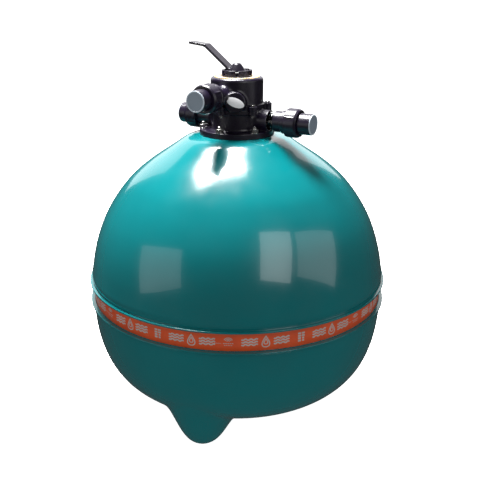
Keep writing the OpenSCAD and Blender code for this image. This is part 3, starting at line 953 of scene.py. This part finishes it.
def build_castings():
    """The two valve castings."""
    margin = 3.0
    low = (LOW["valve_body"][0] - margin, -FLANGE_R - margin, NECK_Z - margin)
    high = (HIGH["valve_body"][0] + margin, FLANGE_R + margin, JOINT_Z + margin + 5)
    verts, faces, normals = surface_net(valve_lower, low, high, VALVE_STEP)
    add_piece(
        "valve_lower", verts, faces, M_BLACK, "filter", ["valve_body"], normals
    )
    low = (-FLANGE_R, LOW["valve_bonnet"][1] - margin, JOINT_Z - margin)
    high = (FLANGE_R, FLANGE_R, BOSS_Z + margin)
    verts, faces, normals = surface_net(valve_upper, low, high, VALVE_STEP)
    add_piece(
        "valve_upper", verts, faces, M_BLACK, "filter", ["valve_bonnet"], normals
    )


# ---- unions, tails and plugs ----


def union_nut():
    """Union nut about Z from 0 to its length, open at the neck's end, with grip ribs."""
    length = HIGH["pump_union_nut"][1] - LOW["pump_union_nut"][1]
    section = [
        (30.5, 0.0), (33.6, 0.0), (34.0, 1.6), (34.0, length - 5), (31.4, length),
        (25.5, length), (25.5, 21.7), (30.5, 21.7),
    ]
    outline = rounded(section, [0.5, 1.0, 1.0, 1.6, 1.2, 0.6, 0, 0], steps=4)
    outline = split_long(outline, 5.0)

    def rib(angle, r, z):
        if r < 31.0:
            return 0.0
        crest = max(math.cos(6 * angle), 0.0) ** 14
        ends = min(max((z - 2.0) / 2.0, 0), 1) * min(max((length - 5 - z) / 3.0, 0), 1)
        return 1.2 * crest * ends

    return turn(outline, 288, swell=rib)


def split_long(outline, longest, closed=True):
    """Adds points on the long straight runs of an outline."""
    result = []
    ends = outline[1:] + outline[:1]
    for a, b in zip(outline, ends) if closed else zip(outline, outline[1:]):
        count = max(1, math.ceil(math.dist(a, b) / longest))
        for k in range(count):
            t = k / count
            result.append((a[0] + (b[0] - a[0]) * t, a[1] + (b[1] - a[1]) * t))
    return result if closed else result + [outline[-1]]


def pipe_tail(length, bore=20.0):
    """Pipe tail about Z, its sealing collar from 0 and its open end at length."""
    section = [
        (PIPE_BORE, 0.0), (29.6, 0.0), (29.6, 4.8), (24.6, 4.8), (24.6, 16.5), (25.0, 17.2),
        (25.0, length), (bore, length), (bore, length - 15.5), (PIPE_BORE, length - 16.5),
    ]
    radii = [0.4, 0.5, 0.5, 0.3, 0.3, 0.3, 1.1, 0.6, 0.4, 0.4]
    return turn(rounded(section, radii, steps=4), 128)


PIPE_BORE = 17.0


def pipe_plug():
    """Push-in plug about Z: cap from -2 to 0 outside the pipe, spigot above it in the pipe."""
    section = [
        (0.0, -1.2), (20.6, -1.2), (21.2, -2.0), (24.2, -2.0), (24.2, 0.0), (19.8, 0.0),
        (19.6, 13.0), (18.8, 14.0), (16.4, 14.0), (16.4, 1.2), (0.0, 1.2),
    ]
    radii = [0, 0.4, 0.5, 0.8, 0.3, 0.2, 0.4, 0.5, 0.4, 0.5, 0]
    return turn(rounded(section, radii, closed=False, steps=3), 128)


def flip(verts, faces):
    """A part mirrored in Z, with its faces turned back outwards."""
    verts = verts.copy()
    verts[:, 2] = -verts[:, 2]
    return verts, [tuple(f[::-1]) for f in faces]


def build_ports():
    """Union nut, pipe tail and plug of each port."""
    starts = {
        "pump": (PUMP, -HIGH["pump_union_nut"][1], -HIGH["pump_tail"][1], -LOW["pump_tail"][1]),
        "return": (RETURN, LOW["return_union_nut"][0], LOW["return_tail"][0], HIGH["return_tail"][0]),
        "waste": (WASTE, -HIGH["waste_union_nut"][0], -HIGH["waste_tail"][0], -LOW["waste_tail"][0]),
    }
    nut_verts, nut_faces = union_nut()
    for name, (place, nut_at, tail_at, end) in starts.items():
        at = place @ Matrix.Translation((0, 0, nut_at))
        add_piece(
            f"{name}_nut_ribbed", moved(nut_verts, at), nut_faces, M_BLACK, f"{name}_nut",
            [f"{name}_union_nut"], sharp=60
        )
        at = place @ Matrix.Translation((0, 0, tail_at))
        verts, faces = pipe_tail(end - tail_at)
        add_piece(
            f"{name}_pipe", moved(verts, at), faces, M_BLACK, "filter",
            [f"{name}_tail"], sharp=35
        )
        verts, faces = flip(*pipe_plug())
        at = place @ Matrix.Translation((0, 0, end))
        plug = add_piece(
            f"{name}_cap", moved(verts, at), faces, M_PLUG, f"{name}_plug",
            [f"{name}_plug"],
        )
        paint_rim(plug, place, end)
        weigh_normals(plug, 35)


def paint_rim(plug, place, end):
    """The cap's rim takes its own, paler material."""
    plug.data.materials.append(M_PLUG_RIM)
    for face in plug.data.polygons:
        centre = local(np.array([face.center]) / MM, place)[0]
        if math.hypot(centre[0], centre[1]) > 21.0 and centre[2] > end - 0.2:
            face.material_index = 1


def build_return_inner():
    """Pipe piece between the sight glass and the return union, with its threaded face."""
    start, stop = LOW["return_inner_tail"][0], HIGH["return_inner_tail"][0]
    nut_at = LOW["return_union_nut"][0]
    section = [
        (23.05, start), (25.0, start), (25.0, start + 19), (27.6, start + 20.5),
        (27.6, nut_at - 1.0), (29.4, nut_at + 1.0), (29.4, stop), (BORE_R, stop),
        (BORE_R, start + 9.5), (23.05, start + 9.5),
    ]
    radii = [0.3, 0.9, 0.8, 0.9, 0.6, 0.5, 0.5, 0.6, 0.3, 0.2]
    verts, faces = turn(rounded(section, radii, steps=4), 128, RETURN)
    add_piece(
        "return_inner_pipe", verts, faces, M_BLACK, "filter",
        ["return_inner_tail"], sharp=35
    )


def build_glass():
    """Clear tube in the return line."""
    section = box_section(18.5, 23.0, LOW["sight_glass"][0], HIGH["sight_glass"][0])
    verts, faces = turn(rounded(section, 0.6, steps=3), 128, RETURN)
    add_piece(
        "sight_tube", verts, faces, M_GLASS, "filter", ["sight_glass"], sharp=35
    )


# ---- fasteners ----


def ringed(part, radius, z):
    """Six copies of a part about the valve's axis."""
    copies = []
    verts, faces = part
    for angle in BOLT_ANGLES:
        place = (
            Matrix.Rotation(math.radians(angle), 4, "Z")
            @ Matrix.Translation((radius, 0, z))
            @ Matrix.Rotation(math.radians(37 * angle), 4, "Z")
        )
        copies.append((moved(verts, place), faces))
    return joined(copies)


def stud_outline(low, high, radius):
    """A stud with a domed, threaded end."""
    pitch = 1.5
    outline = [(0.0, low), (radius * 0.85, low), (radius, low + 1.5), (radius, high - 14)]
    z = high - 14
    while z < high - 4.5:
        outline += [(radius - 0.55, z + pitch * 0.45), (radius, z + pitch * 0.9)]
        z += pitch
    for t in np.radians([8, 25, 42, 60, 76]):
        outline.append((0.97 * radius * math.cos(t), high - 4.0 + 4.0 * math.sin(t)))
    outline.append((0.0, high))
    return outline


def build_fasteners():
    """Flange studs, nuts and washers, and the bolts of the joint."""
    washer = turn(rounded(box_section(5.4, 10.0, 0, 2.0), 0.35, steps=3), 64)
    verts, faces = ringed(washer, FLANGE_BOLT_R, LOW["flange_washers"][2])
    add_piece(
        "washers", verts, faces, M_STEEL, "filter", ["flange_washers"], sharp=35
    )
    flats = 17.0
    verts, faces = hex_prism(flats, 5.0, HIGH["flange_nuts"][2] - LOW["flange_nuts"][2], 0.35)
    verts, faces = ringed((verts, faces), FLANGE_BOLT_R, LOW["flange_nuts"][2])
    add_piece("hex_nuts", verts, faces, M_STEEL, "filter", ["flange_nuts"], sharp=20)
    stud = turn(stud_outline(0.0, HIGH["flange_studs"][2] - LOW["flange_studs"][2], 5.0), 48)
    verts, faces = ringed(stud, FLANGE_BOLT_R, LOW["flange_studs"][2])
    add_piece("studs", verts, faces, M_STEEL, "filter", ["flange_studs"])
    head_low = JOINT_Z + JOINT_T
    head, head_faces = hex_prism(10.0, 0.5, HIGH["joint_bolts"][2] - head_low, 0.4)
    head = head + [0, 0, head_low - LOW["joint_bolts"][2]]
    length = head_low - LOW["joint_bolts"][2] + 1
    shank = [(0, 0), (3.0, 0), (3.0, length), (0, length)]
    shank = turn(rounded(shank, [0, 0.6, 0, 0], closed=False, steps=3), 32)
    verts, faces = ringed(joined([(head, head_faces), shank]), JOINT_BOLT_R, LOW["joint_bolts"][2])
    add_piece(
        "hex_bolts", verts, faces, M_STEEL, "filter", ["joint_bolts"], sharp=20
    )
    small = hex_prism(10.0, 3.0, HIGH["joint_nuts"][2] - LOW["joint_nuts"][2], 0.4)
    verts, faces = ringed(small, JOINT_BOLT_R, LOW["joint_nuts"][2])
    add_piece(
        "hex_bolt_nuts", verts, faces, M_STEEL, "filter", ["joint_nuts"], sharp=20
    )


# ---- top of the valve: ring, label, washer, lever, badge ----

LEVER_STEP = 0.75
ARM_W = 28.0
ARM_T = 6.0
ARM_ROOT = (-16.0, 887.0)
ARM_ELBOW = (-84.5, 941.0)
ARM_TIP = (-129.0, 946.0)
HUB_R = 21.7
HUB_TOP_R = 8.5
HUB_H = 18.5


def index_ring(p):
    """Ring with six notches that stop the lever's heel."""
    ring = disc(p, HIGH["index_ring"][0], TOP_Z, HIGH["index_ring"][2], 0.9)
    ring = cut(ring, disc(p, 31.0, TOP_Z - 5, HIGH["index_ring"][2] + 9), 1.0)
    folded = sixfold(p, 0)
    notch = slab(folded, (35, 0, TOP_Z + 13), (10, 3.5, 10), 1.0)
    return cut(ring, notch, 1.2)


def bar(p, a, b, thickness, edge):
    """Flat bar in the XZ plane between two points of its middle line."""
    a, b = np.array(a), np.array(b)
    d = b - a
    length = np.linalg.norm(d)
    d = d / length
    x, z = p[:, 0] - a[0], p[:, 2] - a[1]
    q = np.column_stack([x * d[0] + z * d[1] - length / 2, p[:, 1], z * d[0] - x * d[1]])
    return slab(q, (0, 0, 0), (length / 2, ARM_W / 2, thickness / 2), edge)


def lever_field(p):
    """Cone hub, arm and thumb tab in one moulding, with the stem's slot below."""
    base = LOW["lever"][2] + 1
    r = np.hypot(p[:, 0], p[:, 1])
    run = HUB_R - HUB_TOP_R
    side = ((r - HUB_R) * HUB_H + (p[:, 2] - base) * run) / math.hypot(HUB_H, run)
    hub = -melt(-side, p[:, 2] * -1 + base + HUB_H, 4.0)
    hub = -melt(-hub, p[:, 2] - base, 0.8)
    hub = np.minimum(hub, disc(p, 20.5, LOW["lever"][2], base + 2, 0.4))
    arm = bar(p, ARM_ROOT, ARM_ELBOW, ARM_T, 1.5)
    tab = bar(p, ARM_ELBOW, ARM_TIP, ARM_T, 1.5)
    f = melt(melt(arm, tab, 4.0), hub, 5.0)
    pin_z = LOW["lever"][2] + 5
    slot_top = pin_z + 7.6
    f = cut(f, slab(p, (0, 0, slot_top - 20), (9.6, 7.4, 20), 0.5), 0.6)
    return np.maximum(f, LOW["lever"][2] - p[:, 2] - np.maximum(-p[:, 0] - 18, 0) * 2)


def build_top():
    """Notched ring, lever, slip washer and dial."""
    margin = 2.5
    low, high = LOW["index_ring"] - margin, HIGH["index_ring"] + margin
    verts, faces, normals = surface_net(index_ring, low, high, LEVER_STEP)
    add_piece(
        "notched_ring", verts, faces, M_BLACK, "filter", ["index_ring"], normals
    )
    low, high = LOW["lever"] - margin, HIGH["lever"] + margin
    verts, faces, normals = surface_net(lever_field, low, high, LEVER_STEP)
    add_piece("handle", verts, faces, M_LEVER, "lever", ["lever"], normals)
    low, high = LOW["slip_washer"], HIGH["slip_washer"]
    section = box_section(10.0, high[0], low[2], high[2])
    verts, faces = turn(rounded(section, 0.6, steps=3), 128)
    add_piece(
        "slip_disc", verts, faces, M_NYLON, "turret", ["slip_washer"], sharp=35
    )
    section = box_section(38.0, 55.0, LOW["position_label"][2], HIGH["position_label"][2])
    verts, faces = turn(rounded(split_long(section, 3.0), 0.25, steps=2), 192)
    add_piece(
        "position_dial", verts, faces, M_DIAL, "filter", ["position_label"], sharp=35
    )


def build_badge():
    """Blank domed oval."""
    half_long, half_short = 22.0, 10.5
    verts, faces = turn([(0.0, 0.0), (1.0, 0.0), (1.0, 0.75), (0.93, 1.0), (0.0, 1.12)], 96)
    verts = verts * [half_short, half_long, 1.0]
    spin = Matrix.Rotation(math.radians(BADGE_SPIN), 4, "Z")
    place = BADGE @ spin @ Matrix.Translation((0, 0, BADGE_FACE + 0.05))
    piece = add_piece(
        "oval_badge", moved(verts, place), faces, M_BADGE, "filter", ["badge"]
    )
    piece.data.set_sharp_from_angle(angle=math.radians(50))


# ---- drain ----


def build_drain():
    """Threaded drain neck and its ribbed cap."""
    place = along_port(DRAIN_TURN, DRAIN_Z)
    section = [
        (10.0, DRAIN_FACE - 20), (15.8, DRAIN_FACE - 20), (15.8, DRAIN_FACE), (24.0, DRAIN_FACE),
        (24.0, DRAIN_FACE + 4), (14.0, DRAIN_FACE + 4), (14.0, DRAIN_FACE + 15.8),
        (10.0, DRAIN_FACE + 15.8),
    ]
    outline = rounded(section, [0.3, 0.3, 0.2, 0.8, 1.0, 0.6, 0.8, 0.5], steps=4)
    verts, faces = turn(outline, 96, place)
    add_piece(
        "drain_neck", verts, faces, M_BLACK, "filter", ["drain_spigot"], sharp=35
    )
    start = DRAIN_FACE + 5
    shape = rounded(
        [(0.0, start + 12.8), (14.4, start + 12.8), (14.4, start), (20.6, start),
         (21.0, start + 1.0), (21.0, start + 13.4), (18.6, start + 15.2), (0.0, start + 15.2)],
        [0, 0.4, 0.5, 0.5, 0.6, 1.4, 1.2, 0], closed=False, steps=4,
    )

    def grip(angle, r, z):
        if r < 18.7 or z < start + 1.5:
            return 0.0
        crest = max(math.cos(4 * angle), 0.0) ** 10
        return 1.5 * crest * min(max((start + 14 - z) / 3.0, 0), 1)

    verts, faces = turn(split_long(shape, 3.0, False), 192, place, grip)
    add_piece(
        "drain_knob", verts, faces, M_BLACK, "drain_cap", ["drain_cap"], sharp=50
    )


def dial_print():
    """White dial with a golden border and a tick at each of the six positions."""
    s = Shader("dial_print", IOR=1.48, Coat_Weight=0.4, Coat_Roughness=0.1)
    split = s.node("SeparateXYZ", {"Vector": s.coords})
    x, y = split.outputs["X"], split.outputs["Y"]
    radius = s.math("SQRT", s.math("ADD", s.math("MULTIPLY", x, x), s.math("MULTIPLY", y, y)))
    angle = s.math("ARCTAN2", y, x)
    sector = s.math("PINGPONG", s.math("ADD", angle, math.radians(360)), math.radians(30))
    border = s.math("GREATER_THAN", radius, 0.0495)
    inner = s.math("LESS_THAN", radius, 0.0410)
    tick_side = s.math("GREATER_THAN", sector, math.radians(28.6))
    tick_span = s.math("GREATER_THAN", radius, 0.0425)
    tick = s.math("MULTIPLY", tick_side, tick_span)
    mottle = s.noise(70.0, 4.0, 0.6)
    white = s.blend(s.spread(mottle, 0.0, 1.0), (0.62, 0.62, 0.61), (0.54, 0.55, 0.56))
    gold = s.blend(s.spread(mottle, 0.0, 1.0), (0.72, 0.47, 0.12), (0.60, 0.37, 0.08))
    colour = s.blend(border, white, gold)
    colour = s.blend(inner, colour, gold)
    colour = s.blend(tick, colour, (0.05, 0.05, 0.06))
    roughness = s.spread(s.noise(150.0, 3.0), 0.28, 0.42)
    wrinkle = s.bump(s.noise(90.0, 3.0), 0.0001, 0.3)
    return s.set(Base_Color=colour, Roughness=roughness, Normal=wrinkle)


M_DIAL = dial_print()
M_BADGE = moulded("badge_white", (0.82, 0.82, 0.83), (0.74, 0.74, 0.76), 0.22, 0.34, coat=0.4)

SEALS = [
    "flange_oring", "standpipe_seal", "body_oring", "spider_gasket", "stem_orings", "drain_seal",
    "glass_seals", "pump_union_oring", "return_union_oring", "waste_union_oring",
]
LATERALS = [f"lateral_{k}" for k in range(1, 9)]
CAD_FINISH = [
    (M_BRASS, ["neck_inserts"]),
    (M_RUBBER, SEALS),
    (M_PIPE, ["standpipe", "lateral_hub", "top_diffuser", *LATERALS]),
    (M_ROTOR, ["rotor", "stem"]),
    (M_STEEL, ["spring", "spring_washer", "handle_pin"]),
]


def finish_internals():
    """The hidden working parts keep their CAD shapes and get real materials."""
    for material, names in CAD_FINISH:
        for name in names:
            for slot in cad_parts[name].material_slots:
                slot.material = material


# ---- stage ----

FLOOR_GLOW = 0.97
SKY = 0.58
SKY_IN_GLOSS = 0.05
TANK_MIDDLE = (0.1, -0.25, 0.55)
PANEL_DISTANCE = 2.6
CAMERA_TURN = 30
CAMERA_REACH = 1.862
CAMERA_HEIGHT = 1.102
CAMERA_PITCH = 19.254
CAMERA_LENS = 56.9
CAMERA_SHIFT = 0.00625


def add_camera():
    """Camera at the angle of the main view."""
    data = bpy.data.cameras.new("camera")
    data.lens = CAMERA_LENS
    data.sensor_width = 36.0
    data.shift_x = CAMERA_SHIFT
    camera = bpy.data.objects.new("camera", data)
    bpy.context.scene.collection.objects.link(camera)
    turn_rad = math.radians(CAMERA_TURN)
    camera.location = (
        CAMERA_REACH * math.sin(turn_rad), -CAMERA_REACH * math.cos(turn_rad), CAMERA_HEIGHT
    )
    camera.rotation_euler = (math.radians(90 - CAMERA_PITCH), 0, turn_rad)
    bpy.context.scene.camera = camera


def area_light(name, location, target, width, height, power, spin=0.0):
    """A soft studio panel turned by spin degrees in its own plane."""
    data = bpy.data.lights.new(name, "AREA")
    data.shape = "RECTANGLE"
    data.size, data.size_y = width, height
    data.energy = power
    light = bpy.data.objects.new(name, data)
    bpy.context.scene.collection.objects.link(light)
    aim = (Vector(target) - Vector(location)).to_track_quat("-Z", "Y").to_matrix().to_4x4()
    light.matrix_world = Matrix.Translation(location) @ aim @ Matrix.Rotation(math.radians(spin), 4, "Z")
    return light


def add_floor():
    """Pale paper under the object, lit from within so that it stays even."""
    mesh = bpy.data.meshes.new("floor")
    size = 60.0
    mesh.from_pydata(
        [(-size, -size, 0), (size, -size, 0), (size, size, 0), (-size, size, 0)],
        [], [(0, 1, 2, 3)],
    )
    floor = bpy.data.objects.new("floor", mesh)
    bpy.context.scene.collection.objects.link(floor)
    s = Shader("floor_paper", Roughness=0.9)
    s.bsdf.inputs["Base Color"].default_value = (0.9, 0.9, 0.9, 1)
    s.bsdf.inputs["Emission Color"].default_value = (1, 1, 1, 1)
    s.bsdf.inputs["Emission Strength"].default_value = FLOOR_GLOW
    mesh.materials.append(s.material)
    floor.visible_diffuse = False
    floor.visible_glossy = False


def add_world():
    """White paper behind the object, and a dim even room round it."""
    world = bpy.data.worlds.new("studio")
    bpy.context.scene.world = world
    world.use_nodes = True
    tree = world.node_tree
    background = tree.nodes["Background"]
    path = tree.nodes.new("ShaderNodeLightPath")
    gloss = tree.nodes.new("ShaderNodeMapRange")
    gloss.inputs["To Min"].default_value = SKY
    gloss.inputs["To Max"].default_value = SKY_IN_GLOSS
    tree.links.new(path.outputs["Is Glossy Ray"], gloss.inputs["Value"])
    strength = tree.nodes.new("ShaderNodeMapRange")
    strength.inputs["To Max"].default_value = 1.0
    tree.links.new(path.outputs["Is Camera Ray"], strength.inputs["Value"])
    tree.links.new(gloss.outputs["Result"], strength.inputs["To Min"])
    tree.links.new(strength.outputs["Result"], background.inputs["Strength"])
    background.inputs["Color"].default_value = (1, 1, 1, 1)


def toward(azimuth, elevation, distance):
    """A place seen from the tank's front at an azimuth from -Y towards +X and an elevation."""
    a, e = math.radians(azimuth), math.radians(elevation)
    return (
        TANK_MIDDLE[0] + distance * math.cos(e) * math.sin(a),
        TANK_MIDDLE[1] - distance * math.cos(e) * math.cos(a),
        TANK_MIDDLE[2] + distance * math.sin(e),
    )


def reflected_panel(name, azimuth, elevation, width, height, power, spin):
    """A dim softbox that shows only as a reflection in the gloss."""
    place = toward(azimuth, elevation, PANEL_DISTANCE)
    panel = area_light(name, place, TANK_MIDDLE, width, height, power, spin)
    panel.visible_diffuse = False
    panel.visible_camera = False


def add_studio():
    """Room, floor, lamps and camera."""
    add_world()
    add_floor()
    area_light("key_softbox", (-0.55, 0.19, 2.6), (-0.55, 0.19, 0.0), 1.1, 0.66, 240, spin=38)
    reflected_panel("left_softbox", -34, 11, 1.75, 1.3, 7, 20)
    reflected_panel("right_softbox", 66, 28, 1.15, 1.75, 17, -17)
    reflected_panel("right_wing", 101, 17, 1.6, 1.5, 9, -28)
    reflected_panel("back_card", -147, 24, 3.4, 1.7, 26, 0)
    add_camera()
    scene = bpy.context.scene
    scene.view_settings.view_transform = "Standard"


build_tank()
build_band()
build_castings()
build_ports()
build_return_inner()
build_glass()
build_fasteners()
build_top()
build_badge()
build_drain()
finish_internals()
add_studio()
